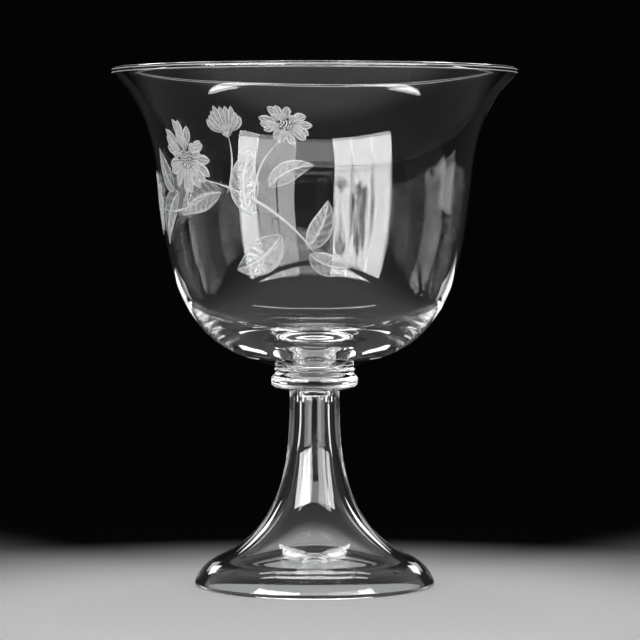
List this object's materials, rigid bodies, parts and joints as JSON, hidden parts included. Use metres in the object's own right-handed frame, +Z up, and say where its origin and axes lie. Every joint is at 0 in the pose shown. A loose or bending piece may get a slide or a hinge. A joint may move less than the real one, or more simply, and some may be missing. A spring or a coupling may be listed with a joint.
{
  "type": "pokal goblet",
  "caption": "Clear blown-glass goblet with a wide bell-shaped bowl, flared lip, ringed joint and hollow trumpet stem on a spreading foot; holds drink and stands on a table.",
  "frame": {"origin": "centre of the ring that the foot stands on, on the table plane", "axes": "+Z up along the goblet's axis, from the foot to the lip; -Y toward the viewer of the picture, +X to the viewer's right"},
  "size_m": [0.158, 0.158, 0.202],
  "materials": {
    "clear_glass": "clear, fire-polished",
    "engraved_frost": "matt, wheel-engraved"
  },
  "bodies": {
    "root": {"bowl": "clear_glass", "upper_merese": "clear_glass", "lower_merese": "clear_glass", "stem_foot": "clear_glass"}
  },
  "joints": []
}
